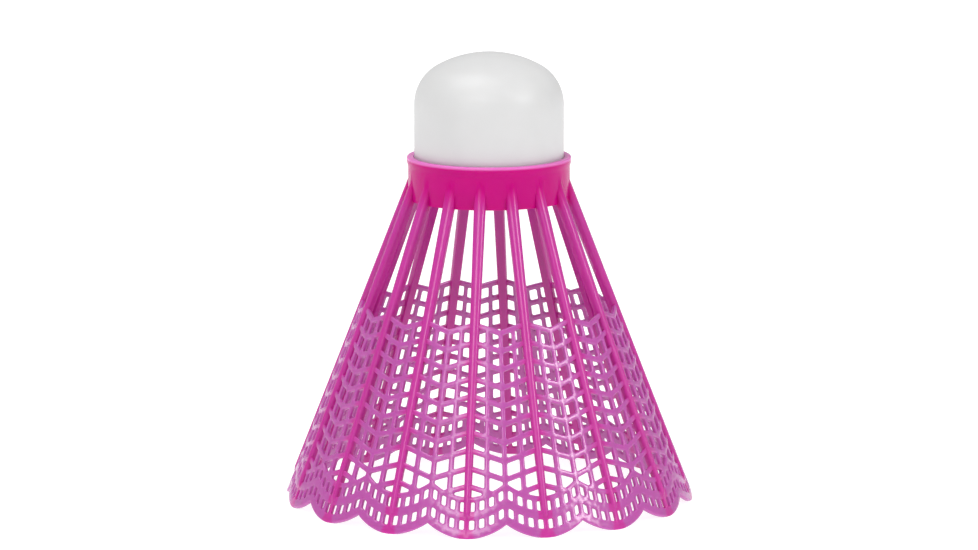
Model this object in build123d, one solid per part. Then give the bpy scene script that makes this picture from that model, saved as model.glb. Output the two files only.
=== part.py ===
from build123d import *
import math
import os

# Badminton shuttlecock of moulded plastic, in millimetres, +Z towards the nose.
# The origin is on the shuttlecock's axis, in the plane that the hem stands on.
# Five pieces: a one-piece skirt (collar, ribs, net and hem), and a head made of
# a hollow cap, a foam core, a steel slug and a base disc that closes it.

# ---- driving dimensions -------------------------------------------------------
# Overall
skirt_height = 56.5            # hem plane to the top of the collar
head_rise = 17.0               # top of the collar to the tip of the nose
hem_diameter = 67.8            # across the outsides of two opposite ribs, at the hem plane

# Collar
collar_wall = 0.95
collar_height = 7.0
collar_lip = 0.2               # how far the top edge stands out
collar_lip_height = 0.8
ledge_width = 1.6              # inner ring that the head sits on
ledge_thickness = 1.1

# Head
head_diameter = 24.4
dome_shoulder = 7.2            # radius where the side turns into the crown
crown_rise = 1.3               # height of the rounded part over the shoulder's radius
cap_wall = 1.0
cap_nose_wall = 1.6
head_fit = 0.05                # radial gap between the head and the collar's bore
bead_depth = 0.3               # snap bead inside the collar, and its groove in the cap
bead_height = 1.2
bead_rise = 2.6                # ledge to the middle of the bead
base_disc_thickness = 1.2
base_disc_fit = 0.03           # radial gap between the base disc and the cap
slug_diameter = 4.0
slug_length = 5.0
slug_fit = 0.05                # gap all round the slug in its foam pocket

# Ribs
rib_count = 16
rib_top_width = 2.0
rib_top_depth = 1.6
rib_foot_width = 1.15
rib_foot_depth = 1.15
rib_crown = 0.45               # width of the outer face as a share of the rib's width
rib_root = 0.7                 # width of the net's edge under a rib, as a share of its foot
rib_tip_rise = 3.4             # how far up the collar a rib's tip dies into it

# Net
net_thickness = 0.7
net_inset = 0.3                # rib's outer face to the net's outer face
net_length = 34.9              # along the slope, from the lowest point of a lobe to the net's top
row_pitch = 2.97
row_slope = 0.37               # fall of each chevron strand, per unit across the panel
row_strand = 0.9               # width of a chevron strand
upright_foot_width = 0.85      # width of an upright strand at the hem
upright_top_width = 0.65       # and at the top of the net

# Hem
scallop_depth = 2.2            # lobe's lowest point to the cusp between two lobes
outer_border = 1.35
slot_height = 1.5
middle_border = 1.4
top_border = 0.85
standing_flat = 0.15           # how much of each lobe's bottom is trimmed flat to stand on
slots_per_lobe = 8
slot_bar = 0.75                # width of the bar between two slots

# ---- worked-out geometry --------------------------------------------------------
half_sector = math.pi / rib_count
hem_radius = hem_diameter / 2
head_radius = head_diameter / 2
bore_radius = head_radius + head_fit
collar_radius = bore_radius + collar_wall
collar_bottom = skirt_height - collar_height
rib_tip_z = collar_bottom + rib_tip_rise
slope = (hem_radius - collar_radius) / rib_tip_z       # radius lost per unit of height
lean = math.atan(slope)                                # ribs' lean from the axis
ledge_top = collar_bottom + ledge_thickness
nose_z = skirt_height + head_rise

# A net panel is flat and spans from one rib to the next. Its own frame has X across
# the panel and Y up the slope, from the hem plane, along the panel's middle line.
net_radius = hem_radius - (net_inset + net_thickness / 2) / math.cos(lean)
apothem = net_radius * math.cos(half_sector)
panel_lean = math.atan(slope * math.cos(half_sector))
foot_half_chord = net_radius * math.sin(half_sector)
chord_loss = slope * math.sin(half_sector) * math.cos(panel_lean)
hem_height = outer_border + 2 * slot_height + middle_border + top_border
overlap = 1.0                  # how far cutters run past what they cut


def half_chord(y):
    """Distance from the panel's middle line to the rib's line, at height y."""
    return foot_half_chord - chord_loss * y


# ---- skirt ------------------------------------------------------------------------
def scallop_band(low, high):
    """Band of the hem that follows the scallop, from low to high above a lobe's bottom."""

    def half_scallop(rise):
        """Arc from the cusp on the middle line to the lobe's bottom, in line with the rib."""
        reach = half_chord(rise)
        radius = (reach ** 2 + scallop_depth ** 2) / (2 * scallop_depth)
        middle = reach / 2
        sag = radius - math.sqrt(radius ** 2 - (reach - middle) ** 2)
        return (0, rise + scallop_depth), (middle, rise + sag), (reach, rise)

    lower, upper = half_scallop(low), half_scallop(high)
    outer_low = (half_chord(low) + overlap, low)
    outer_high = (half_chord(high) + overlap, high)
    edges = [
        ThreePointArc(*lower),
        Line(lower[2], outer_low),
        Line(outer_low, outer_high),
        Line(outer_high, upper[2]),
        ThreePointArc(*upper),
        Line(upper[0], lower[0]),
    ]
    half = make_face(edges)
    return half + mirror(half, Plane.YZ)


def column(place, low, high, width_foot, width_top):
    """Upright bar whose middle runs at one share of the half chord, from low to high."""
    foot = place * half_chord(low)
    top = place * half_chord(high)
    return make_face(Polyline(
        (foot - width_foot / 2, low), (foot + width_foot / 2, low),
        (top + width_top / 2, high), (top - width_top / 2, high), close=True))


def chevron(middle_y, width):
    """Chevron strand across the panel: lowest on its middle line, highest at the ribs."""
    reach = foot_half_chord + overlap
    rise = row_slope * reach
    low, high = middle_y - width / 2, middle_y + width / 2
    return make_face(Polyline(
        (0, low), (reach, low + rise), (reach, high + rise),
        (0, high), (-reach, high + rise), (-reach, low + rise), close=True))


# The top strand's upper edge meets the ribs at net_length.
top_strand_y = net_length - row_slope * half_chord(net_length) - row_strand / 2
net_drop = top_strand_y + row_slope * foot_half_chord - hem_height
row_count = math.ceil(net_drop / row_pitch)


def net_strands():
    """All the strands of one panel's net, above the hem."""
    strands = [chevron(top_strand_y - row * row_pitch, row_strand) for row in range(row_count)]
    foot = hem_height - top_border / 2
    for place in (-0.5, 0, 0.5):
        foot_y = foot + scallop_depth * (1 - abs(place))
        strands.append(column(place, foot_y, net_length, upright_foot_width,
                              upright_top_width))
    under_rib = rib_foot_width * rib_root
    for side in (-1, 1):
        strands.append(column(side, foot, net_length, under_rib, under_rib))
    top = top_strand_y + row_strand / 2
    reach = foot_half_chord + overlap
    limit = make_face(Polyline(
        (0, top), (reach, top + row_slope * reach), (reach, 0), (-reach, 0),
        (-reach, top + row_slope * reach), close=True))
    net = (Sketch() + strands) & limit
    return net - scallop_band(-scallop_depth - overlap, hem_height - top_border / 2)


def hem_bands():
    """The hem of one panel: three borders that follow the scallop, and the bars between."""
    lower_slots = outer_border
    upper_slots = lower_slots + slot_height + middle_border
    hem = scallop_band(-standing_flat, hem_height)
    slots = scallop_band(lower_slots, lower_slots + slot_height)
    slots += scallop_band(upper_slots, upper_slots + slot_height)
    top = hem_height + scallop_depth
    bars = []
    for bar in range(slots_per_lobe + 1):
        place = 2 * bar / slots_per_lobe - 1
        bars.append(column(place, 0, top, slot_bar, slot_bar))
    return hem - (slots - (Sketch() + bars))


def sector_wedge():
    """Wedge between the planes of two neighbouring ribs, with its middle along +X."""
    reach = hem_radius + 4 * overlap
    side = reach * math.tan(half_sector)
    corner = make_face(Polyline((0, 0), (reach, -side), (reach, side), close=True))
    return extrude(corner, skirt_height)


def net_panel():
    """One flat panel of net and hem, mitred where it meets its neighbours."""
    flat = net_strands() + hem_bands()
    plane = Plane(
        origin=(apothem, 0, 0), x_dir=(0, 1, 0),
        z_dir=(math.cos(panel_lean), 0, math.sin(panel_lean)))
    plate = extrude(plane * flat, net_thickness / 2, both=True)
    return plate & sector_wedge()


def rib_section(along, width, depth):
    """Section of a rib, square to its outer line, at a distance up the slope from the hem."""
    outer = Vector(hem_radius - along * math.sin(lean), 0, along * math.cos(lean))
    plane = Plane(origin=outer, x_dir=(0, 1, 0), z_dir=(-math.sin(lean), 0, math.cos(lean)))
    crown = width * rib_crown / 2
    profile = Polyline(
        (-crown, 0), (-width / 2, depth * 0.4), (-width / 2, depth),
        (width / 2, depth), (width / 2, depth * 0.4), (crown, 0), close=True)
    return plane * make_face(profile)


def rib():
    """One rib: from the hem's middle border to its pointed tip on the collar."""
    foot = outer_border + slot_height + middle_border / 2
    tip = rib_tip_z / math.cos(lean)
    return loft([
        rib_section(foot, rib_foot_width, rib_foot_depth),
        rib_section(tip, rib_top_width, rib_top_depth)])


def profile(*points):
    """Face in the plane of radius (X) and height (Y) from its corners."""
    return make_face(Polyline(*points, close=True))


def turned(half_section):
    """Solid of revolution about the shuttlecock's axis from a face of radius and height."""
    return revolve(Plane.XZ * half_section, Axis.Z)


def snap_section(radius, depth, height):
    """Triangular section of the collar's bead, or of its groove in the cap."""
    outside = radius + overlap / 2
    middle = ledge_top + bead_rise
    return profile(
        (outside, middle - height / 2), (radius, middle - height / 2),
        (radius - depth, middle), (radius, middle + height / 2),
        (outside, middle + height / 2))


def collar():
    """The skirt's collar, with its lip, its inner ledge and the snap bead."""
    lip_radius = collar_radius + collar_lip
    section = profile(
        (bore_radius - ledge_width, collar_bottom), (collar_radius, collar_bottom),
        (collar_radius, skirt_height - 2 * collar_lip_height),
        (lip_radius, skirt_height - collar_lip_height), (lip_radius, skirt_height),
        (bore_radius, skirt_height), (bore_radius, ledge_top),
        (bore_radius - ledge_width, ledge_top))
    bead = snap_section(bore_radius, bead_depth, bead_height)
    return turned(section + (bead & profile(
        (0, collar_bottom), (collar_radius, collar_bottom),
        (collar_radius, skirt_height), (0, skirt_height))))


def skirt():
    """The whole skirt moulding, standing on flats at the bottoms of its lobes."""
    turn = 360 / rib_count
    panels = PolarLocations(0, rib_count, start_angle=turn / 2) * net_panel()
    ribs = PolarLocations(0, rib_count) * rib()
    bore = extrude(Plane.XY.offset(ledge_top) * Circle(bore_radius), skirt_height)
    return collar().fuse(*panels, *[one_rib - bore for one_rib in ribs])


# ---- head ---------------------------------------------------------------------------
def dome(radius, low, high, shoulder, rise):
    """Half section of a domed plug: a straight side, a shoulder arc and a flatter crown arc."""
    round_height = shoulder + rise
    round_low = high - round_height
    shoulder_x = radius - shoulder
    crown = (shoulder_x ** 2 + round_height ** 2 - shoulder ** 2) / (2 * rise)
    crown_low = high - crown
    turn = math.degrees(math.atan2(round_low - crown_low, shoulder_x))
    return make_face([
        Line((0, low), (radius, low)),
        Line((radius, low), (radius, round_low)),
        CenterArc((shoulder_x, round_low), shoulder, 0, turn),
        CenterArc((0, crown_low), crown, turn, 90 - turn),
        Line((0, high), (0, low)),
    ])


cavity_radius = head_radius - cap_wall
cavity_top = nose_z - cap_nose_wall
cavity_shoulder = dome_shoulder - cap_wall
cavity_rise = crown_rise + cap_wall - cap_nose_wall
core_bottom = ledge_top + base_disc_thickness
slug_radius = slug_diameter / 2


def head_cap():
    """White hollow cap with a groove for the collar's bead."""
    section = dome(head_radius, ledge_top, nose_z, dome_shoulder, crown_rise)
    section -= dome(cavity_radius, ledge_top, cavity_top, cavity_shoulder, cavity_rise)
    return turned(section - snap_section(head_radius, bead_depth, bead_height + 2 * head_fit))


def head_core():
    """Foam that fills the cap, with a pocket for the slug."""
    pocket_radius = slug_radius + slug_fit
    pocket_top = core_bottom + slug_length + slug_fit
    section = dome(cavity_radius, core_bottom, cavity_top, cavity_shoulder, cavity_rise)
    return turned(section - profile(
        (0, core_bottom), (pocket_radius, core_bottom),
        (pocket_radius, pocket_top), (0, pocket_top)))


def base_disc():
    """Disc that closes the cap's mouth."""
    return Pos(0, 0, ledge_top) * Cylinder(
        cavity_radius - base_disc_fit, base_disc_thickness,
        align=(Align.CENTER, Align.CENTER, Align.MIN))


def weight_slug():
    """Steel slug that stands on the base disc inside the foam."""
    return Pos(0, 0, core_bottom) * Cylinder(
        slug_radius, slug_length, align=(Align.CENTER, Align.CENTER, Align.MIN))


# ---- write one STEP file for each piece ------------------------------------------------
os.makedirs("parts", exist_ok=True)
pieces = {
    "skirt": skirt(),
    "head_cap": head_cap(),
    "head_core": head_core(),
    "weight_slug": weight_slug(),
    "base_disc": base_disc(),
}
# The edges' curves on surfaces are left out, because they more than double the skirt's file.
for name, piece in pieces.items():
    export_step(piece, f"parts/{name}.step", write_pcurves=False)
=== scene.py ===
"""Badminton shuttlecock of moulded plastic: the visual model, built round the CAD frame.

Lengths in the classes are millimetres, and meshes are made in metres.
"""
import logging
import math
from dataclasses import dataclass, field
from enum import Enum
from typing import Iterable, Sequence

import bmesh
import bpy
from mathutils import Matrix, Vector
from mathutils.geometry import delaunay_2d_cdt


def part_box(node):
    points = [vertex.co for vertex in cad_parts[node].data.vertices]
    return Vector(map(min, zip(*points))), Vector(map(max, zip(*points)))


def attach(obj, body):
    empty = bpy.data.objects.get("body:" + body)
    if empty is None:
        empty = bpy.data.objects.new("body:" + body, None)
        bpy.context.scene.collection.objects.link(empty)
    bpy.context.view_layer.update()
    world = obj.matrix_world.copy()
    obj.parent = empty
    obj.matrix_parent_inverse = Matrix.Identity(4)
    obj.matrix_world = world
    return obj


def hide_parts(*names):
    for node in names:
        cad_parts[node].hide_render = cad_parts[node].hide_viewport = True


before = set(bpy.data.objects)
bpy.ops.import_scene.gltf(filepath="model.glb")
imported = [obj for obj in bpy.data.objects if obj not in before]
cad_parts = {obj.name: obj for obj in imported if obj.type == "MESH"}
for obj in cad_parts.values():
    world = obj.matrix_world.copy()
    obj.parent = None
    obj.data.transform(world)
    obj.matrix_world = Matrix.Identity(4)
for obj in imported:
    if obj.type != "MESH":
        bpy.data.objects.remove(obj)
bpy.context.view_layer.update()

MM = 0.001
LOG = logging.getLogger("shuttlecock")

Point2 = tuple[float, float]
Point3 = tuple[float, float, float]
HalfPlane = tuple[float, float, float]


# ---- small geometry helpers ------------------------------------------------------------
def node_top(name: str) -> float:
    """Highest point of a CAD node, in millimetres."""
    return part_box(name)[1][2] / MM


def node_bottom(name: str) -> float:
    """Lowest point of a CAD node, in millimetres."""
    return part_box(name)[0][2] / MM


def node_radius(name: str) -> float:
    """Half of a CAD node's width along X, in millimetres."""
    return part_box(name)[1][0] / MM


def line_plane(start: Point2, end: Point2) -> HalfPlane:
    """Half plane on the left of a line.

    Args:
        start: first point of the line.
        end: second point of the line.

    Returns:
        (nx, ny, c), where the kept points have nx*x + ny*y <= c.
    """
    nx, ny = end[1] - start[1], start[0] - end[0]
    size = math.hypot(nx, ny)
    nx, ny = nx / size, ny / size
    return nx, ny, nx * start[0] + ny * start[1]


def clip(polygon: list[Point2], plane: HalfPlane) -> list[Point2]:
    """Cuts a convex polygon by a half plane.

    Args:
        polygon: corners, anticlockwise.
        plane: the half plane to keep.

    Returns:
        The corners of what is left, which may be none.
    """
    nx, ny, c = plane
    kept: list[Point2] = []
    for index, here in enumerate(polygon):
        there = polygon[(index + 1) % len(polygon)]
        d0 = nx * here[0] + ny * here[1] - c
        d1 = nx * there[0] + ny * there[1] - c
        if d0 <= 0:
            kept.append(here)
        if d0 * d1 < 0:
            share = d0 / (d0 - d1)
            kept.append((here[0] + share * (there[0] - here[0]),
                         here[1] + share * (there[1] - here[1])))
    return kept


def convex(planes: Iterable[HalfPlane], inset: float) -> list[Point2]:
    """Convex polygon shared by half planes that are each moved inwards.

    Args:
        planes: the half planes.
        inset: how far each is moved inwards.

    Returns:
        Corners, anticlockwise, without near doubles; empty if nothing is left.
    """
    far = 200.0
    polygon: list[Point2] = [(-far, -far), (far, -far), (far, far), (-far, far)]
    for nx, ny, c in planes:
        polygon = clip(polygon, (nx, ny, c - inset))
        if len(polygon) < 3:
            return []
    tidy: list[Point2] = []
    for point in polygon:
        if not tidy or math.dist(point, tidy[-1]) > 1e-3:
            tidy.append(point)
    if len(tidy) > 1 and math.dist(tidy[0], tidy[-1]) <= 1e-3:
        tidy.pop()
    return tidy if len(tidy) >= 3 else []


def rounded_loop(core: Sequence[Point2], radius: float, step: float) -> list[Point2]:
    """Outline of a convex polygon grown by a radius, with round corners.

    Args:
        core: the polygon's corners, anticlockwise.
        radius: how far to grow it.
        step: largest turn of a corner between two points, in degrees.

    Returns:
        Points of the outline: always as many for the same core, whatever the radius.
    """
    loop: list[Point2] = []
    count = len(core)
    for index, here in enumerate(core):
        before, after = core[index - 1], core[(index + 1) % count]
        start = math.atan2(before[0] - here[0], here[1] - before[1])
        end = math.atan2(here[0] - after[0], after[1] - here[1])
        turn = (end - start) % (2 * math.pi)
        parts = max(1, round(math.degrees(turn) / step))
        for part in range(parts + 1):
            angle = start + turn * part / parts
            loop.append((here[0] + radius * math.cos(angle),
                         here[1] + radius * math.sin(angle)))
    return loop


def edge_profile(thickness: float, rounding: float, parts: int) -> list[Point2]:
    """Section of a thin plate's rounded edge.

    Args:
        thickness: the plate's thickness.
        rounding: radius of its two edges.
        parts: segments in each rounding.

    Returns:
        (set_back, height) pairs from the outer face to the inner one.
    """
    upper = []
    for part in range(parts + 1):
        angle = math.pi / 2 * part / parts
        upper.append((rounding * (1 - math.sin(angle)),
                      thickness / 2 - rounding * (1 - math.cos(angle))))
    return upper + [(back, -height) for back, height in reversed(upper)]


def new_object(name: str, mesh: bpy.types.Mesh) -> bpy.types.Object:
    """Puts a mesh in the scene as an object."""
    thing = bpy.data.objects.new(name, mesh)
    bpy.context.scene.collection.objects.link(thing)
    return thing


def mesh_from(name: str, points: Sequence[Point3], faces: Sequence[Sequence[int]],
              weld: float = 1e-4) -> bpy.types.Mesh:
    """Makes a mesh from points in millimetres.

    Args:
        name: the mesh's name.
        points: vertex positions.
        faces: vertex numbers of each face.
        weld: vertices nearer than this are joined.

    Returns:
        The mesh, in metres, with its normals outwards.
    """
    mesh = bpy.data.meshes.new(name)
    mesh.from_pydata([(x * MM, y * MM, z * MM) for x, y, z in points], [], faces)
    body = bmesh.new()
    body.from_mesh(mesh)
    bmesh.ops.remove_doubles(body, verts=body.verts, dist=weld * MM)
    bmesh.ops.recalc_face_normals(body, faces=body.faces)
    body.to_mesh(mesh)
    body.free()
    return mesh


def shade(mesh: bpy.types.Mesh, crease: float) -> None:
    """Smooth shading with sharp edges above a crease angle in degrees."""
    body = bmesh.new()
    body.from_mesh(mesh)
    limit = math.radians(crease)
    for face in body.faces:
        face.smooth = True
    for edge in body.edges:
        edge.smooth = not (len(edge.link_faces) == 2 and edge.calc_face_angle() > limit)
    body.to_mesh(mesh)
    body.free()


def applied(thing: bpy.types.Object) -> bpy.types.Mesh:
    """Mesh that an object has with its modifiers applied; the modifiers are taken off."""
    mesh = bpy.data.meshes.new_from_object(
        thing.evaluated_get(bpy.context.evaluated_depsgraph_get()))
    thing.modifiers.clear()
    return mesh


def lathe(name: str, section: Sequence[Point2], segments: int) -> bpy.types.Mesh:
    """Turns a closed section about the Z axis.

    Args:
        name: the mesh's name.
        section: (radius, height) corners of the section, in order round it.
        segments: steps round the axis.

    Returns:
        A closed mesh.
    """
    points: list[Point3] = []
    for step in range(segments):
        angle = 2 * math.pi * step / segments
        points += [(r * math.cos(angle), r * math.sin(angle), z) for r, z in section]
    count = len(section)
    faces = []
    for step in range(segments):
        here, there = step * count, (step + 1) % segments * count
        for index in range(count):
            after = (index + 1) % count
            if max(section[index][0], section[after][0]) > 1e-6:
                faces.append((here + index, there + index, there + after, here + after))
    return mesh_from(name, points, faces)


def arc(centre: Point2, radius: float, start: float, end: float, parts: int) -> list[Point2]:
    """Points along an arc, from one angle to another in degrees."""
    angles = [math.radians(start + (end - start) * part / parts) for part in range(parts + 1)]
    return [(centre[0] + radius * math.cos(a), centre[1] + radius * math.sin(a)) for a in angles]


def softened(corners: Sequence[Point2], radius: float, parts: int = 3) -> list[Point2]:
    """Closed outline with every corner cut back and rounded by a curve through three points.

    Args:
        corners: the outline's corners in order.
        radius: how far back from each corner the curve starts.
        parts: segments in each curve.

    Returns:
        The outline's points.
    """
    outline: list[Point2] = []
    count = len(corners)
    for index, corner in enumerate(corners):
        here = Vector(corner)
        before, after = Vector(corners[index - 1]), Vector(corners[(index + 1) % count])
        reach_in = min(radius, (before - here).length * 0.45)
        reach_out = min(radius, (after - here).length * 0.45)
        start = here + (before - here).normalized() * reach_in
        end = here + (after - here).normalized() * reach_out
        for part in range(parts + 1):
            t = part / parts
            outline.append(tuple(start * (1 - t) ** 2 + here * 2 * t * (1 - t) + end * t ** 2))
    return outline


# ---- materials ---------------------------------------------------------------------------
def linear(hex_colour: str) -> tuple[float, float, float, float]:
    """Turns an sRGB hex colour such as "#C81487" to linear RGBA."""
    channels = [int(hex_colour[i:i + 2], 16) / 255 for i in (1, 3, 5)]
    return (*[c / 12.92 if c <= 0.04045 else ((c + 0.055) / 1.055) ** 2.4 for c in channels], 1.0)


def add_node(tree: bpy.types.NodeTree, kind: str, settings: dict | None = None,
             **inputs: object) -> bpy.types.Node:
    """Adds a node with its settings and links.

    Args:
        tree: the node tree.
        kind: the node's type name.
        settings: node properties to set.
        inputs: values or output sockets for the inputs, with _ for a space in a name;
            a name such as i1 is the input's number.

    Returns:
        The node.
    """
    node = tree.nodes.new(kind)
    for key, value in (settings or {}).items():
        setattr(node, key, value)
    for key, value in inputs.items():
        numbered = key[0] == "i" and key[1:].isdigit()
        socket = node.inputs[int(key[1:])] if numbered else node.inputs[key.replace("_", " ")]
        if isinstance(value, bpy.types.NodeSocket):
            tree.links.new(value, socket)
        else:
            socket.default_value = value
    return node


@dataclass(frozen=True)
class Finish:
    """What every finish has: a name, a colour and how its surface shines."""

    name: str
    colour: str
    roughness: float
    ior: float = 1.5
    metallic: float = 0.0

    def start(self) -> tuple[bpy.types.Material, bpy.types.NodeTree, bpy.types.Node]:
        """Makes the material and its shader, with the values that are the same all over."""
        material = bpy.data.materials.new(self.name)
        material.use_nodes = True
        tree = material.node_tree
        tree.nodes.clear()
        shader = add_node(tree, "ShaderNodeBsdfPrincipled", Base_Color=linear(self.colour),
                          Roughness=self.roughness, IOR=self.ior, Metallic=self.metallic)
        output = add_node(tree, "ShaderNodeOutputMaterial")
        tree.links.new(shader.outputs[0], output.inputs["Surface"])
        return material, tree, shader


@dataclass(frozen=True)
class MouldedPolyethylene(Finish):
    """Coloured polyethylene, injection moulded: a waxy satin skin over a plastic that light
    goes into. The thin strands are also given paler tints than the thick collar: painted glow of
    light through thin plastic on top of the plastic's own colour.

    The tints are (wall, colour) stops, thinnest first.
    """

    tints: tuple[tuple[float, str], ...] = ()
    net_gloss: float = 0.85
    collar_gloss: float = 0.12
    glow: float = 0.5
    glow_mm: tuple[float, float, float] = (1.6, 0.35, 1.1)
    ripple_mm: float = 5.0
    skin_mm: float = 0.35

    def make(self) -> bpy.types.Material:
        """Builds the material.

        Returns:
            The material, which reads the mesh's "wall" attribute as a place on the tints.
        """
        material, tree, shader = self.start()
        shader.inputs["Subsurface Weight"].default_value = self.glow
        shader.inputs["Subsurface Radius"].default_value = self.glow_mm
        shader.inputs["Subsurface Scale"].default_value = MM
        wall = add_node(tree, "ShaderNodeAttribute", {"attribute_name": "wall"})
        place = add_node(tree, "ShaderNodeTexCoord")
        cloud = add_node(tree, "ShaderNodeTexNoise", Vector=place.outputs["Object"],
                         Scale=1 / (self.ripple_mm * MM), Detail=2.0)
        tint = add_node(tree, "ShaderNodeValToRGB", Fac=wall.outputs["Fac"])
        stops = tint.color_ramp.elements
        while len(stops) < len(self.tints):
            stops.new(0.5)
        for stop, (position, colour) in zip(stops, self.tints):
            stop.position, stop.color = position, linear(colour)
        drift = add_node(tree, "ShaderNodeHueSaturation", Color=tint.outputs[0],
                         Value=add_node(tree, "ShaderNodeMapRange", Value=cloud.outputs["Fac"],
                                        To_Min=0.94, To_Max=1.06).outputs[0])
        tree.links.new(drift.outputs[0], shader.inputs["Base Color"])
        gloss = add_node(tree, "ShaderNodeMapRange", Value=wall.outputs["Fac"],
                         From_Max=self.tints[-2][0], To_Min=self.net_gloss,
                         To_Max=self.collar_gloss)
        tree.links.new(gloss.outputs[0], shader.inputs["Specular IOR Level"])
        skin = add_node(tree, "ShaderNodeTexNoise", Vector=place.outputs["Object"],
                        Scale=1 / (self.skin_mm * MM), Detail=3.0)
        sheen = add_node(tree, "ShaderNodeMapRange", Value=skin.outputs["Fac"],
                         To_Min=self.roughness - 0.02, To_Max=self.roughness + 0.03)
        tree.links.new(sheen.outputs[0], shader.inputs["Roughness"])
        bump = add_node(tree, "ShaderNodeBump", Height=skin.outputs["Fac"], Strength=0.02,
                        Distance=0.02 * MM)
        tree.links.new(bump.outputs[0], shader.inputs["Normal"])
        return material


@dataclass(frozen=True)
class MouldedHead(Finish):
    """White low-density polyethylene, moulded against a polished tool: an even milky body
    with a soft highlight and a barely uneven skin."""

    shade_colour: str = "#CBCBCB"
    dimple_mm: float = 7.0
    grain_mm: float = 0.4

    def make(self) -> bpy.types.Material:
        """Builds the material."""
        material, tree, shader = self.start()
        shader.inputs["Subsurface Weight"].default_value = 0.35
        shader.inputs["Subsurface Radius"].default_value = (1.8, 1.7, 1.6)
        shader.inputs["Subsurface Scale"].default_value = MM
        place = add_node(tree, "ShaderNodeTexCoord")
        cloud = add_node(tree, "ShaderNodeTexNoise", Vector=place.outputs["Object"],
                         Scale=1 / (self.dimple_mm * MM), Detail=2.0)
        tint = add_node(tree, "ShaderNodeMix", {"data_type": "RGBA"},
                        i0=cloud.outputs["Fac"], i6=linear(self.colour),
                        i7=linear(self.shade_colour))
        tree.links.new(tint.outputs[2], shader.inputs["Base Color"])
        grain = add_node(tree, "ShaderNodeTexNoise", Vector=place.outputs["Object"],
                         Scale=1 / (self.grain_mm * MM), Detail=3.0)
        sheen = add_node(tree, "ShaderNodeMapRange", Value=grain.outputs["Fac"],
                         To_Min=self.roughness - 0.04, To_Max=self.roughness + 0.06)
        tree.links.new(sheen.outputs[0], shader.inputs["Roughness"])
        broad = add_node(tree, "ShaderNodeBump", Height=cloud.outputs["Fac"], Strength=0.12,
                         Distance=0.4 * MM)
        fine = add_node(tree, "ShaderNodeBump", Height=grain.outputs["Fac"], Strength=0.05,
                        Distance=0.04 * MM, Normal=broad.outputs[0])
        tree.links.new(fine.outputs[0], shader.inputs["Normal"])
        return material


@dataclass(frozen=True)
class ClosedCellFoam(Finish):
    """EVA foam: a matt skin pitted by cells under a millimetre across, each pit darkened by
    painted shade.
    """

    cell_mm: float = 0.6

    def make(self) -> bpy.types.Material:
        """Builds the material."""
        material, tree, shader = self.start()
        place = add_node(tree, "ShaderNodeTexCoord")
        cells = add_node(tree, "ShaderNodeTexVoronoi", Vector=place.outputs["Object"],
                         Scale=1 / (self.cell_mm * MM))
        # greyer at each cell's middle, where the bump sinks: painted shade in the pits
        tint = add_node(tree, "ShaderNodeMix", {"data_type": "RGBA"},
                        i0=cells.outputs["Distance"], i6=linear("#CFCFC8"),
                        i7=linear(self.colour))
        tree.links.new(tint.outputs[2], shader.inputs["Base Color"])
        bump = add_node(tree, "ShaderNodeBump", Height=cells.outputs["Distance"],
                        Strength=0.5, Distance=0.15 * MM)
        tree.links.new(bump.outputs[0], shader.inputs["Normal"])
        return material


@dataclass(frozen=True)
class CutSteel(Finish):
    """Mild steel rod cut off plain: grey metal with fine drawing lines along the rod."""

    line_mm: float = 0.08

    def make(self) -> bpy.types.Material:
        """Builds the material."""
        material, tree, shader = self.start()
        place = add_node(tree, "ShaderNodeTexCoord")
        stretched = add_node(tree, "ShaderNodeMapping", Vector=place.outputs["Object"],
                             Scale=(1.0, 1.0, 0.03))
        lines = add_node(tree, "ShaderNodeTexNoise", Vector=stretched.outputs[0],
                         Scale=1 / (self.line_mm * MM), Detail=2.0)
        sheen = add_node(tree, "ShaderNodeMapRange", Value=lines.outputs["Fac"],
                         To_Min=self.roughness - 0.1, To_Max=self.roughness + 0.15)
        tree.links.new(sheen.outputs[0], shader.inputs["Roughness"])
        bump = add_node(tree, "ShaderNodeBump", Height=lines.outputs["Fac"], Strength=0.2,
                        Distance=0.02 * MM)
        tree.links.new(bump.outputs[0], shader.inputs["Normal"])
        return material


@dataclass(frozen=True)
class LightTable(Finish):
    """Opal acrylic table lit from below: pale and even, with hardly any shadow on it."""

    glow: float = 0.86

    def make(self) -> bpy.types.Material:
        """Builds the material."""
        material, _, shader = self.start()
        shader.inputs["Specular IOR Level"].default_value = 0.1
        shader.inputs["Emission Color"].default_value = (1.0, 1.0, 1.0, 1.0)
        shader.inputs["Emission Strength"].default_value = self.glow
        return material


class Wall(Enum):
    """The kinds of wall that the skirt has, as places on its tints."""

    # net and ribs take paler tints than the collar: the plastic's own colour lightened by painted
    # glow of light through thin walls
    NET = 0.0
    RIB = 0.35
    COLLAR = 0.7
    # the lip's thin top edge, tinted pale as painted glow of light scattered through it
    LIP_EDGE = 1.0


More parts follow.
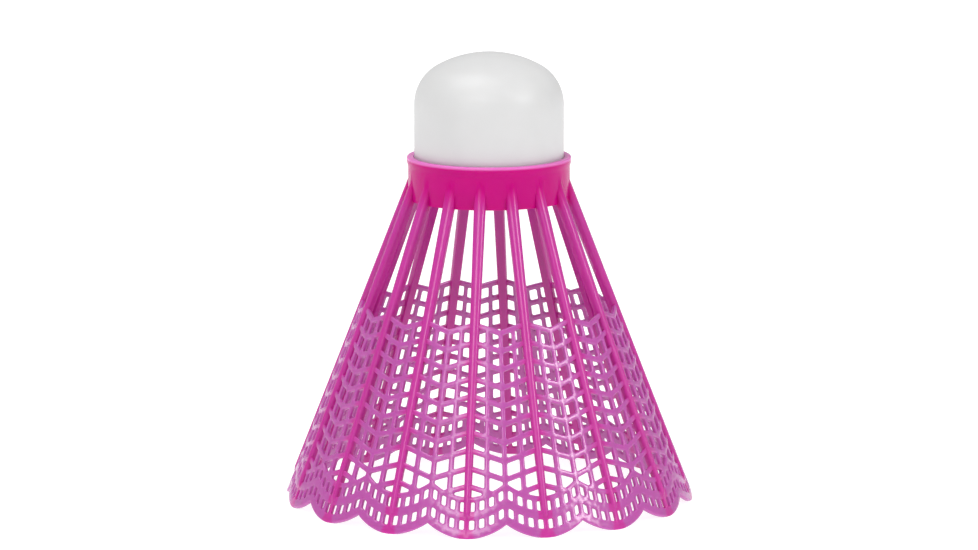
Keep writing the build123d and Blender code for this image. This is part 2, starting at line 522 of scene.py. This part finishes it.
# ---- skirt ---------------------------------------------------------------------------------
@dataclass
class Skirt:
    """One-piece skirt: collar, ribs, net and scalloped hem.

    The colours are those of the net, the ribs and the collar, then a pale pink for the lip's thin
    top edge: painted glow of light from the white head scattered through it.
    """

    # net and rib colours are the collar's plastic made paler by painted glow of light through
    # their thinner walls
    colours: tuple[str, ...] = ("#AE469E", "#B82A92", "#BC0078", "#D670B8")
    sectors: int = 16
    hem_radius: float = 33.9
    collar_height: float = 7.0
    collar_wall: float = 0.95
    collar_lip: float = 0.2
    lip_height: float = 0.8
    head_fit: float = 0.05
    ledge_width: float = 1.6
    ledge_thickness: float = 1.1
    rib_top_width: float = 2.0
    rib_top_depth: float = 1.6
    rib_foot_width: float = 1.15
    rib_foot_depth: float = 1.15
    rib_tip_rise: float = 3.4
    net_thickness: float = 0.7
    net_inset: float = 0.3
    net_length: float = 34.9
    row_pitch: float = 2.97
    row_slope: float = 0.37
    row_strand: float = 0.9
    upright_foot: float = 0.85
    upright_top: float = 0.65
    scallop_depth: float = 2.2
    outer_border: float = 1.35
    slot_height: float = 1.5
    middle_border: float = 1.4
    top_border: float = 0.85
    standing_flat: float = 0.15
    slots_per_lobe: int = 8
    slot_bar: float = 0.75
    edge_rounding: float = 0.22
    cell_corner: float = 0.22
    slot_corner: float = 0.2
    crease: float = 38.0
    # height of the lip's top band that gets the pale painted glow
    lip_glow_band: float = 0.3
    rib_reach: float = 1.0
    tip_reach: float = 1.15
    tip_stand_off: float = 0.03
    top: float = field(default_factory=lambda: node_top("skirt"))
    head_radius: float = field(default_factory=lambda: node_radius("head_cap"))

    def __post_init__(self) -> None:
        """Works out the cone, the panels' frame and the rows from the driving sizes."""
        self.half_sector = math.pi / self.sectors
        self.bore = self.head_radius + self.head_fit
        self.collar_radius = self.bore + self.collar_wall
        self.collar_bottom = self.top - self.collar_height
        self.tip_z = self.collar_bottom + self.rib_tip_rise
        self.slope = (self.hem_radius - self.collar_radius) / self.tip_z
        self.lean = math.atan(self.slope)
        inset = self.net_inset + self.net_thickness / 2
        self.net_radius = self.hem_radius - inset / math.cos(self.lean)
        self.apothem = self.net_radius * math.cos(self.half_sector)
        self.panel_lean = math.atan(self.slope * math.cos(self.half_sector))
        self.foot_half_chord = self.net_radius * math.sin(self.half_sector)
        self.chord_loss = self.slope * math.sin(self.half_sector) * math.cos(self.panel_lean)
        self.mitre = math.tan(self.half_sector) * math.cos(self.panel_lean)
        self.hem_height = (self.outer_border + 2 * self.slot_height + self.middle_border
                           + self.top_border)
        self.top_strand = (self.net_length - self.row_strand / 2
                           - self.row_slope * self.half_chord(self.net_length))

    def half_chord(self, y: float) -> float:
        """Distance from a panel's middle line to the rib's line, at height y up the slope."""
        return self.foot_half_chord - self.chord_loss * y

    def place(self, x: float, y: float, h: float) -> Point3:
        """Point of the first panel, bowed out to the cone between its two ribs.

        Args:
            x: distance across the panel from its middle line.
            y: distance up the slope from the hem plane.
            h: height over the plate's middle plane, outwards.

        Returns:
            The point in millimetres, never under the hem plane.
        """
        s, c = math.sin(self.panel_lean), math.cos(self.panel_lean)
        reach = self.half_chord(y)
        share = x / (reach + h * self.mitre)
        h += reach * math.tan(self.half_sector / 2) * (1 - share * share)
        return (self.apothem - y * s + h * c, x, max(0.0, y * c + h * s))

    def upright_edge(self, share: float, side: int) -> HalfPlane:
        """Half plane beside an upright strand.

        Args:
            share: the strand's place as a share of the half chord, -1 to 1.
            side: 1 to keep what is right of the strand, -1 for what is left of it.

        Returns:
            The half plane.
        """
        if abs(share) == 1:
            foot = top = self.rib_foot_width * 0.8
        else:
            foot, top = self.upright_foot, self.upright_top
        low = (share * self.half_chord(0) + side * foot / 2, 0.0)
        high = (share * self.half_chord(self.net_length) + side * top / 2, self.net_length)
        return line_plane(high, low) if side > 0 else line_plane(low, high)

    def scallop(self, rise: float) -> tuple[float, float]:
        """Centre height and radius of the scallop's arc at a rise above the lobe's bottom."""
        reach = self.half_chord(rise)
        radius = (reach ** 2 + self.scallop_depth ** 2) / (2 * self.scallop_depth)
        return rise + radius, radius

    def above_hem(self, side: int, parts: int = 9) -> list[HalfPlane]:
        """Half planes that follow the top of the hem on one side of a panel."""
        reach = self.half_chord(self.hem_height)
        centre_y, radius = self.scallop(self.hem_height)
        spread = math.asin(reach / radius)
        planes = []
        for part in range(parts + 1):
            angle = -side * spread * part / parts
            nx, ny = math.sin(angle), -math.cos(angle)
            planes.append((nx, ny, nx * side * reach + ny * centre_y + radius))
        return planes

    def cells(self) -> list[list[HalfPlane]]:
        """Every opening of one panel's net, each as the half planes that bound it."""
        found = []
        drop = self.top_strand + self.row_slope * self.foot_half_chord - self.hem_height
        for row in range(math.ceil(drop / self.row_pitch)):
            high = self.top_strand - row * self.row_pitch - self.row_strand / 2
            low = high - self.row_pitch + self.row_strand
            for left in (-1.0, -0.5, 0.0, 0.5):
                side = 1 if left >= 0 else -1
                rise = side * self.row_slope
                found.append([
                    self.upright_edge(left, 1), self.upright_edge(left + 0.5, -1),
                    line_plane((1, high + rise), (0, high)),
                    line_plane((0, low), (1, low + rise)), *self.above_hem(side)])
        return found

    def slots(self) -> list[list[HalfPlane]]:
        """Every slot of one panel's hem, each as the half planes that bound it."""
        found = []
        pitch = 2 / self.slots_per_lobe
        upper = self.outer_border + self.slot_height + self.middle_border
        for low in (self.outer_border, upper):
            for index in range(self.slots_per_lobe):
                left = index * pitch - 1
                middle = left + pitch / 2
                side = 1 if middle > 0 else -1
                planes = []
                for share, keep in ((left, 1), (left + pitch, -1)):
                    half_bar = keep * self.slot_bar / 2
                    foot = (share * self.half_chord(low) + half_bar, low)
                    tip_y = low + self.slot_height
                    tip = (share * self.half_chord(tip_y) + half_bar, tip_y)
                    planes.append(line_plane(tip, foot) if keep > 0 else line_plane(foot, tip))
                for rise, keep in ((low, -1), (low + self.slot_height, 1)):
                    reach = self.half_chord(rise)
                    centre_y, radius = self.scallop(rise)
                    off = middle * reach - side * reach
                    angle = math.asin(off / radius)
                    nx, ny = math.sin(angle), -math.cos(angle)
                    c = nx * side * reach + ny * centre_y + radius
                    planes.append((nx, ny, c) if keep < 0 else (-nx, -ny, -c))
                found.append(planes)
        return found

    def hem_path(self, back: float, h: float, parts: int = 14) -> list[Point2]:
        """Scalloped lower edge of a panel, from its left mitre to its right one.

        Args:
            back: how far the path is set back into the plate.
            h: height of the path over the plate's middle plane.
            parts: segments in half a lobe.

        Returns:
            The path's points.
        """
        rise = -self.standing_flat
        reach = self.half_chord(rise)
        centre_y, radius = self.scallop(rise)
        radius -= back
        start = math.asin(-reach / radius)
        right = []
        for part in range(parts + 1):
            angle = start * (1 - part / parts)
            right.append((reach + radius * math.sin(angle), centre_y - radius * math.cos(angle)))
        low = right[-1][1]
        right[-1] = (self.half_chord(low) + h * self.mitre, low)
        return [(-x, y) for x, y in reversed(right)] + right[1:]

    def top_path(self, back: float, h: float, parts: int = 3) -> list[Point2]:
        """Chevron upper edge of a panel, from its right mitre to its left one."""
        fall = back * math.hypot(1, self.row_slope)
        low = self.top_strand + self.row_strand / 2 - fall
        reach = ((self.foot_half_chord - self.chord_loss * low + h * self.mitre)
                 / (1 + self.chord_loss * self.row_slope))
        right = [(reach * part / parts, low + self.row_slope * reach * part / parts)
                 for part in range(parts + 1)]
        return right[::-1] + [(-x, y) for x, y in right[1:]]

    def panel(self) -> tuple[list[Point3], list[tuple[int, ...]]]:
        """Builds one panel: two flat faces joined by rounded edges round every opening.

        Returns:
            Points and faces; its two mitred sides are open, ready to weld to its neighbours.
        """
        profile = edge_profile(self.net_thickness, self.edge_rounding, 3)
        last = len(profile) - 1
        flat: list[Point2] = []
        loops: list[int] = []
        outer: list[int] = []
        inner: list[int] = []
        points: list[Point3] = []
        faces: list[tuple[int, ...]] = []
        rims: list[tuple[int, int]] = []

        def add_edge(paths: list[list[Point2]], loop: int) -> None:
            """Adds one edge as strips of faces; loop is 0 for the border, which is open."""
            count, base, start = len(paths[0]), len(points), len(flat)
            for path, (_, height) in zip(paths, profile):
                points.extend(self.place(x, y, height) for x, y in path)
            flat.extend(paths[0])
            loops.extend([loop] * count)
            outer.extend(base + i for i in range(count))
            inner.extend(base + last * count + i for i in range(count))
            for i in range(count if loop else count - 1):
                j = (i + 1) % count
                rims.append((start + i, start + j))
                for level in range(last):
                    a, b = base + level * count, base + (level + 1) * count
                    faces.append((a + i, b + i, b + j, a + j))

        add_edge([self.hem_path(back, h) for back, h in profile], 0)
        corner_right, corner_left = len(flat) - 1, 0
        add_edge([self.top_path(back, h) for back, h in profile], 0)
        rims += [(corner_right, corner_right + 1), (len(flat) - 1, corner_left)]
        openings = [(planes, self.cell_corner) for planes in self.cells()]
        openings += [(planes, self.slot_corner) for planes in self.slots()]
        for loop, (planes, corner) in enumerate(openings, start=1):
            core = convex(planes, corner)
            if core:
                add_edge([rounded_loop(core, corner + back, 30) for back, _ in profile], loop)
        _, _, triangles, origins, _, _ = delaunay_2d_cdt(
            [Vector(p) for p in flat], rims, [], 1, 1e-6)
        for triangle in triangles:
            corners = [origins[i][0] for i in triangle]
            owners = {loops[i] for i in corners}
            if len(owners) > 1 or owners == {0}:
                faces.append(tuple(outer[i] for i in corners))
                faces.append(tuple(inner[i] for i in reversed(corners)))
        return points, faces

    def net_mesh(self) -> bpy.types.Mesh:
        """All the panels, welded along their mitres into one closed ring of net and hem."""
        panel_points, panel_faces = self.panel()
        points: list[Point3] = []
        faces: list[tuple[int, ...]] = []
        for sector in range(self.sectors):
            turn = (2 * sector + 1) * self.half_sector
            s, c = math.sin(turn), math.cos(turn)
            base = len(points)
            points += [(x * c - y * s, x * s + y * c, z) for x, y, z in panel_points]
            faces += [tuple(base + i for i in face) for face in panel_faces]
        return mesh_from("net", points, faces, weld=2e-3)

    def rib_section(self, share: float, sink: float, swell: float) -> list[Point3]:
        """Section of the rib that lies on +X.

        Args:
            share: how far along the rib, from 0 at its foot to 1 at its tip.
            sink: how far the outer face is lowered towards the net.
            swell: factor on the section's width.

        Returns:
            The section's points, going round it.
        """
        foot = self.outer_border + self.slot_height + self.middle_border * 0.35
        tip = self.tip_z / math.cos(self.lean)
        along = foot + share * (tip - foot)
        width = swell * (self.rib_foot_width
                         + share * (self.rib_top_width - self.rib_foot_width))
        depth = self.rib_foot_depth + share * (self.rib_top_depth - self.rib_foot_depth)
        crown = depth * 0.55
        across = []
        for part in range(13):
            angle = math.pi * part / 12
            q = width / 2 * math.cos(angle)
            across.append((q, crown * (1 - math.sin(angle) ** 0.8)))
        corner = width * 0.12
        across += [(-width * 0.47, depth - corner), (-width * 0.40, depth),
                   (width * 0.40, depth), (width * 0.47, depth - corner)]
        s, c = math.sin(self.lean), math.cos(self.lean)
        outer = self.hem_radius - along * s
        section = []
        for q, d in across:
            d = sink + d * (1 - sink / depth)
            section.append((outer - d * c, q, along * c - d * s))
        return section

    def rib_mesh(self) -> bpy.types.Mesh:
        """All the ribs as closed bars, each from the hem's middle border into the collar."""
        stations = [(0.0, self.net_inset * 1.2, 0.75), (0.008, self.net_inset * 0.5, 0.95),
                    (0.02, 0.0, 1.0)]
        stations += [(0.02 + 0.98 * part / 12, 0.0, 1.0) for part in range(1, 13)]
        rings = [self.rib_section(*station) for station in stations]
        count = len(rings[0])
        bar = [point for ring in rings for point in ring]
        sides = []
        for ring in range(len(rings) - 1):
            for i in range(count):
                j = (i + 1) % count
                a, b = ring * count, (ring + 1) * count
                sides.append((a + i, a + j, b + j, b + i))
        sides.append(tuple(reversed(range(count))))
        sides.append(tuple((len(rings) - 1) * count + i for i in range(count)))
        points: list[Point3] = []
        faces: list[tuple[int, ...]] = []
        for sector in range(self.sectors):
            turn = 2 * sector * self.half_sector
            s, c = math.sin(turn), math.cos(turn)
            base = len(points)
            points += [(x * c - y * s, x * s + y * c, z) for x, y, z in bar]
            faces += [tuple(base + i for i in face) for face in sides]
        return mesh_from("ribs", points, faces)

    def collar_mesh(self) -> bpy.types.Mesh:
        """The collar: a ring with a rounded lip on top and a ledge inside its foot."""
        lip = self.collar_radius + self.collar_lip
        ledge = self.collar_bottom + self.ledge_thickness
        corners = [
            (self.bore - self.ledge_width, self.collar_bottom),
            (self.collar_radius, self.collar_bottom),
            (self.collar_radius, self.top - 2 * self.lip_height),
            (lip, self.top - self.lip_height), (lip, self.top), (self.bore, self.top),
            (self.bore, ledge), (self.bore - self.ledge_width, ledge)]
        return lathe("collar", softened(corners, 0.25), 256)

    def dress(self, skin: bpy.types.Object) -> None:
        """Marks how thick the wall is at each point, with the lip's top band marked for its
        painted glow, and gives the skirt its plastic.
        """
        mesh = skin.data
        wall = mesh.attributes.new("wall", "FLOAT", "POINT")
        values = []
        for vertex in mesh.vertices:
            x, y, z = (value / MM for value in vertex.co)
            radius = math.hypot(x, y)
            cone = self.hem_radius - self.slope * z
            turn = math.atan2(y, x) % (2 * self.half_sector)
            to_rib = min(turn, 2 * self.half_sector - turn) * radius
            proud = radius > self.collar_radius + self.tip_stand_off
            on_tip = to_rib < self.tip_reach and proud and z < self.tip_z
            on_rib = to_rib < self.rib_reach and cone - radius < self.net_inset
            # the lip's top band gets the pale tint: painted glow of light through the thin edge
            if z > self.top - self.lip_glow_band:
                kind = Wall.LIP_EDGE
            elif z > self.collar_bottom - 0.01 and not on_tip:
                kind = Wall.COLLAR
            elif on_tip or on_rib:
                kind = Wall.RIB
            else:
                kind = Wall.NET
            values.append(kind.value)
        wall.data.foreach_set("value", values)
        tints = tuple(zip((kind.value for kind in Wall), self.colours))
        mesh.materials.clear()
        mesh.materials.append(MouldedPolyethylene(
            "moulded_polyethylene", self.colours[2], roughness=0.25, ior=1.51, tints=tints).make())

    def build(self) -> bpy.types.Object:
        """Makes the skirt as one closed mesh.

        Returns:
            The skirt's object, riding on the root body and standing for its CAD solid.
        """
        skin = new_object("skirt_moulding", self.net_mesh())
        for mesh in (self.rib_mesh(), self.collar_mesh()):
            tool = new_object("skirt_tool", mesh)
            union = skin.modifiers.new("union", "BOOLEAN")
            union.operation, union.solver, union.object = "UNION", "MANIFOLD", tool
            skin.data = applied(skin)
            bpy.data.objects.remove(tool)
        shade(skin.data, self.crease)
        flats = skin.modifiers.new("flats", "WEIGHTED_NORMAL")
        flats.keep_sharp = True
        skin.data = applied(skin)
        self.dress(skin)
        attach(skin, "root")
        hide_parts("skirt")
        return skin


# ---- head ------------------------------------------------------------------------------------
@dataclass
class Head:
    """The white head: its moulded cap, and the pieces shut inside it."""

    shoulder: float = 7.2
    crown_rise: float = 1.3
    wall: float = 1.0
    nose_wall: float = 1.6
    bead_depth: float = 0.3
    bead_height: float = 1.3
    bead_rise: float = 2.6
    rim_round: float = 0.3
    segments: int = 192
    radius: float = field(default_factory=lambda: node_radius("head_cap"))
    bottom: float = field(default_factory=lambda: node_bottom("head_cap"))
    top: float = field(default_factory=lambda: node_top("head_cap"))

    def dome(self, radius: float, top: float, shoulder: float, rise: float) -> list[Point2]:
        """Half section of a dome, from its straight side up to the axis."""
        round_low = top - shoulder - rise
        middle = radius - shoulder
        crown = (middle ** 2 + (shoulder + rise) ** 2 - shoulder ** 2) / (2 * rise)
        turn = math.degrees(math.atan2(round_low - (top - crown), middle))
        outline = arc((middle, round_low), shoulder, 0, turn, 16)
        outline += arc((0.0, top - crown), crown, turn, 90, 12)[1:]
        return outline

    def cap_mesh(self) -> bpy.types.Mesh:
        """The hollow cap: dome outside and inside, a rounded rim and the snap groove."""
        groove = self.bottom + self.bead_rise
        half = self.bead_height / 2
        inner = self.radius - self.wall
        outside = [
            (inner, self.bottom), (self.radius - self.rim_round, self.bottom),
            (self.radius, self.bottom + self.rim_round), (self.radius, groove - half),
            (self.radius - self.bead_depth, groove), (self.radius, groove + half)]
        outside += self.dome(self.radius, self.top, self.shoulder, self.crown_rise)
        inside = self.dome(inner, self.top - self.nose_wall, self.shoulder - self.wall,
                           self.crown_rise + self.wall - self.nose_wall)
        return lathe("head_cap_shell", outside + inside[::-1], self.segments)

    def build(self) -> bpy.types.Object:
        """Makes the cap.

        Returns:
            The cap's object, standing for its CAD solid.
        """
        cap = new_object("head_cap_shell", self.cap_mesh())
        shade(cap.data, 35)
        cap.data.materials.append(MouldedHead(
            "moulded_white_polyethylene", "#D2D2D2", roughness=0.42, ior=1.51).make())
        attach(cap, "root")
        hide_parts("head_cap")
        return cap

    def dress_inner(self) -> list[bpy.types.Object]:
        """Gives the CAD pieces inside the head their finishes."""
        finishes = {
            "head_core": ClosedCellFoam("eva_foam", "#F2F0E8", roughness=0.85),
            "weight_slug": CutSteel("cut_mild_steel", "#8C8C8E", roughness=0.35, metallic=1.0),
            "base_disc": MouldedHead("moulded_white_disc", "#E9E9E8", roughness=0.36),
        }
        dressed = []
        for name, finish in finishes.items():
            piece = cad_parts[name]
            piece.data.materials.clear()
            piece.data.materials.append(finish.make())
            dressed.append(piece)
        return dressed


# ---- stage ---------------------------------------------------------------------------------
@dataclass
class Studio:
    """Pale floor, soft light and camera round the shuttlecock."""

    camera_distance: float = 860.0
    camera_elevation: float = 9.9
    camera_turn: float = 6.3
    frame_height: float = 90.0
    frame_aspect: float = 978 / 550
    floor_span: float = 6000.0
    floor_colour: str = "#A4A4A4"
    sky: float = 0.55
    centre_z: float = field(default_factory=lambda: node_top("head_cap") / 2)

    def floor(self) -> bpy.types.Object:
        """Level floor that the shuttlecock stands on."""
        half = self.floor_span / 2
        mesh = mesh_from("floor", [(-half, -half, 0), (half, -half, 0), (half, half, 0),
                                   (-half, half, 0)], [(0, 1, 2, 3)])
        mesh.materials.append(LightTable("opal_acrylic", self.floor_colour, roughness=0.9).make())
        sheet = new_object("floor", mesh)
        return sheet

    def place_on(self, azimuth: float, elevation: float, distance: float) -> Vector:
        """Point at an azimuth round the object, in metres; azimuth 0 is in front, at -Y."""
        a, e = math.radians(azimuth), math.radians(elevation)
        away = Vector((math.sin(a) * math.cos(e), -math.cos(a) * math.cos(e), math.sin(e)))
        return (Vector((0, 0, self.centre_z)) + away * distance) * MM

    def aim(self, thing: bpy.types.Object, place: Vector) -> None:
        """Puts a light or camera at a place, looking at the object's middle."""
        thing.location = place
        look = Vector((0, 0, self.centre_z)) * MM - place
        thing.rotation_euler = look.to_track_quat("-Z", "Y").to_euler()

    def light(self, name: str, azimuth: float, elevation: float, distance: float,
              width: float, height: float, power: float) -> bpy.types.Object:
        """Oblong soft box.

        Args:
            name: the light's name.
            azimuth: degrees round the object from the front.
            elevation: degrees above the horizon.
            distance: millimetres from the object's middle.
            width: millimetres across.
            height: millimetres up.
            power: watts.

        Returns:
            The light's object.
        """
        lamp = bpy.data.lights.new(name, "AREA")
        lamp.shape, lamp.energy = "RECTANGLE", power
        lamp.size, lamp.size_y = width * MM, height * MM
        thing = bpy.data.objects.new(name, lamp)
        bpy.context.scene.collection.objects.link(thing)
        self.aim(thing, self.place_on(azimuth, elevation, distance))
        return thing

    def world(self) -> None:
        """Even white surroundings."""
        world = bpy.data.worlds.new("studio")
        world.use_nodes = True
        backdrop = world.node_tree.nodes["Background"]
        backdrop.inputs["Color"].default_value = (1.0, 1.0, 1.0, 1.0)
        backdrop.inputs["Strength"].default_value = self.sky
        bpy.context.scene.world = world

    def camera(self) -> bpy.types.Object:
        """Camera with a long lens, a little above the hem."""
        lens = bpy.data.cameras.new("camera")
        half_width = self.frame_height * self.frame_aspect / 2
        lens.angle = 2 * math.atan(half_width / self.camera_distance)
        lens.clip_start, lens.clip_end = 0.01, 100.0
        thing = bpy.data.objects.new("camera", lens)
        bpy.context.scene.collection.objects.link(thing)
        self.aim(thing, self.place_on(self.camera_turn, self.camera_elevation,
                                      self.camera_distance))
        bpy.context.scene.camera = thing
        return thing

    def build(self) -> None:
        """Sets the whole stage."""
        self.floor()
        self.world()
        self.light("key_softbox", -65, 72, 1500, 900, 900, 10.5)
        self.light("front_panel", -10, 32, 900, 360, 240, 1.6)
        self.light("right_strip", 65, 28, 900, 130, 300, 2.0)
        self.camera()
        bpy.context.scene.view_settings.view_transform = "Standard"


def main() -> None:
    """Builds the shuttlecock and its stage, and reports each piece."""
    logging.basicConfig(level=logging.INFO, format="%(name)s: %(message)s")
    skirt = Skirt().build()
    LOG.info("%s: %d faces", skirt.name, len(skirt.data.polygons))
    head = Head()
    cap = head.build()
    LOG.info("%s: %d faces", cap.name, len(cap.data.polygons))
    for piece in head.dress_inner():
        LOG.info("%s: dressed", piece.name)
    Studio().build()


if __name__ == "__main__":
    main()
